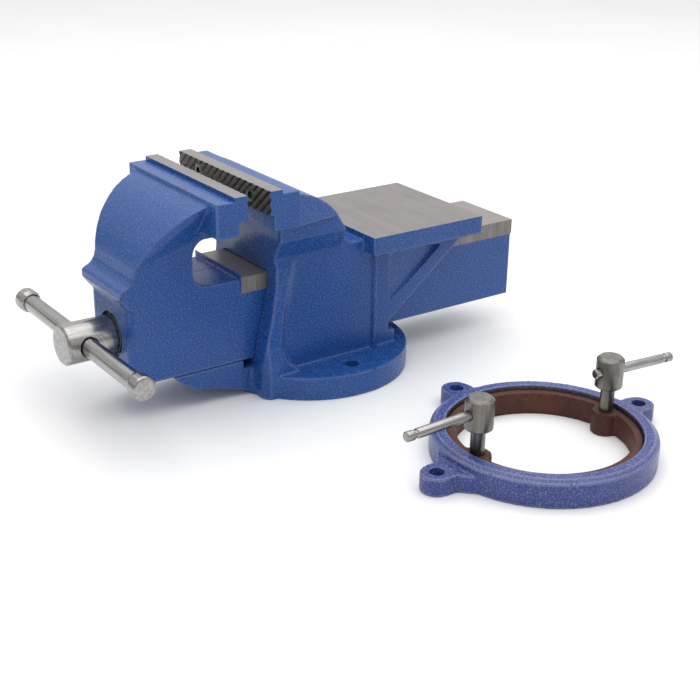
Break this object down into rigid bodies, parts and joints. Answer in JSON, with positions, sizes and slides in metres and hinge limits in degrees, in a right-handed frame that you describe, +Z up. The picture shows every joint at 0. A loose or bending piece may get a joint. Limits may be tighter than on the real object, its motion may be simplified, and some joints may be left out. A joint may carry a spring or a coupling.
{
  "type": "bench vise",
  "caption": "Bench vise with an anvil at the rear, knurled jaw plates and a sliding T-bar handle, with its swivel base ring and lock bolts loose beside it.",
  "frame": {"origin": "centre of the round base flange, on its underside", "axes": "+Z up, +Y from the handle towards the anvil along the spindle, +X along the jaws towards the loose swivel base"},
  "size_m": [0.464, 0.447, 0.1914],
  "materials": {
    "vise_paint": "hammered gloss",
    "ring_paint": "speckled gloss",
    "red_oxide": "matt primer",
    "jaw_plate": "hardened and knurled",
    "nut_iron": "as cast",
    "turned_steel": "turned",
    "bolt_steel": "turned",
    "fastener_steel": "plain"
  },
  "bodies": {
    "vise_body": {"fixed_body": "vise_paint", "fixed_jaw_plate": "jaw_plate", "fixed_jaw_screws": "fastener_steel", "spindle_nut": "nut_iron", "nut_bolts": "fastener_steel"},
    "moving_jaw": {"moving_jaw": "vise_paint", "moving_jaw_plate": "jaw_plate", "moving_jaw_screws": "fastener_steel", "thrust_washer": "fastener_steel", "spindle_spring": "fastener_steel"},
    "spindle": {"spindle": "turned_steel", "spring_washer": "fastener_steel", "split_pin": "fastener_steel"},
    "handle": {"handle_bar": "turned_steel", "handle_cap_near": "turned_steel", "handle_cap_far": "turned_steel"},
    "swivel_base": {"swivel_base": "ring_paint"},
    "clamp_ring": {"clamp_ring": "red_oxide"},
    "lock_bolt_near": {"lock_bolt_near": "bolt_steel"},
    "lock_bolt_far": {"lock_bolt_far": "bolt_steel"},
    "tommy_bar_near": {"tommy_bar_near": "bolt_steel"},
    "tommy_bar_far": {"tommy_bar_far": "bolt_steel"}
  },
  "joints": [
    {"name": "jaw_slide", "type": "slide", "parent": "vise_body", "child": "moving_jaw", "axis": [0, 1, 0], "range_m": [-0.13, 0.02]},
    {"name": "spindle_turn", "type": "hinge", "parent": "moving_jaw", "child": "spindle", "pos_m": [0, -0.2205, 0.0688], "axis": [0, 1, 0], "range_deg": [-9361, 1441]},
    {"name": "handle_slide", "type": "slide", "parent": "spindle", "child": "handle", "axis": [1, 0, 0], "range_m": [-0.079, 0.083]},
    {"name": "base_lift", "type": "slide", "parent": "vise_body", "child": "swivel_base", "axis": [0, 0, 1], "range_m": [0, 0.15]},
    {"name": "clamp_ring_turn", "type": "hinge", "parent": "swivel_base", "child": "clamp_ring", "pos_m": [0.257, 0.053, 0.01], "axis": [0, 0, 1], "continuous": true},
    {"name": "lock_near_turn", "type": "hinge", "parent": "clamp_ring", "child": "lock_bolt_near", "pos_m": [0.257, -0.016, 0.02], "axis": [0, 0, 1], "range_deg": [-90, 90]},
    {"name": "lock_far_turn", "type": "hinge", "parent": "clamp_ring", "child": "lock_bolt_far", "pos_m": [0.257, 0.122, 0.02], "axis": [0, 0, 1], "range_deg": [-90, 90]},
    {"name": "tommy_near_slide", "type": "slide", "parent": "lock_bolt_near", "child": "tommy_bar_near", "axis": [0.0349, -0.9994, 0], "range_m": [-0.05, 0]},
    {"name": "tommy_far_slide", "type": "slide", "parent": "lock_bolt_far", "child": "tommy_bar_far", "axis": [0.1045, 0.9945, 0], "range_m": [-0.042, 0.0075]}
  ],
  "couplings": [
    {"joint": "spindle_turn", "follows": "jaw_slide", "rad_per_m": 1256.6}
  ]
}
